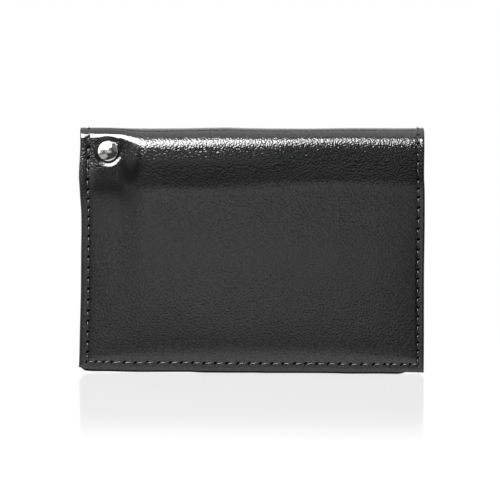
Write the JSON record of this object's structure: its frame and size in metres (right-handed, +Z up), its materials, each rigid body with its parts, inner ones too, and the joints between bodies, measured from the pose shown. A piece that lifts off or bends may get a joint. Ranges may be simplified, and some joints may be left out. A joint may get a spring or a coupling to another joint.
{
  "type": "leather key case",
  "caption": "Folded leather key case with a rolled top, a stitched front cover, a card pocket and a riveted key strap with a split ring.",
  "frame": {"origin": "under the middle of the closed case, on the surface that its long lower edges stand on", "axes": "+X along the width to the right as seen from the front, +Y towards the back leaf, +Z up to the roll"},
  "size_m": [0.105, 0.015, 0.0757],
  "materials": {
    "hide": "smooth black calf, glossy, with a fine grain",
    "lining": "matt black lining leather",
    "thread": "waxed black thread",
    "rivet": "polished nickel plate",
    "ring": "nickel-plated spring steel"
  },
  "bodies": {
    "shell": {"back_leather": "hide", "back_lining": "lining", "back_seam_thread": "thread", "card_pocket": "lining", "rivet_cap": "rivet", "rivet_post": "rivet"},
    "front_cover": {"front_leather": "hide", "front_lining": "lining", "front_seam_thread": "thread"},
    "key_strap": {"key_strap": "hide"},
    "key_ring": {"key_ring": "ring"}
  },
  "joints": [
    {"name": "cover_bend", "type": "hinge", "parent": "shell", "child": "front_cover", "pos_m": [0, -0.00703, 0.06], "axis": [-1, 0, 0], "range_deg": [0, 110]},
    {"name": "strap_swivel", "type": "hinge", "parent": "shell", "child": "key_strap", "pos_m": [-0.0439, -0.00055, 0.0675], "axis": [0, 1, 0], "range_deg": [-15, 145]},
    {"name": "ring_spin", "type": "hinge", "parent": "key_strap", "child": "key_ring", "pos_m": [-0.01605, -0.00055, 0.048], "axis": [0, 1, 0], "continuous": true}
  ]
}
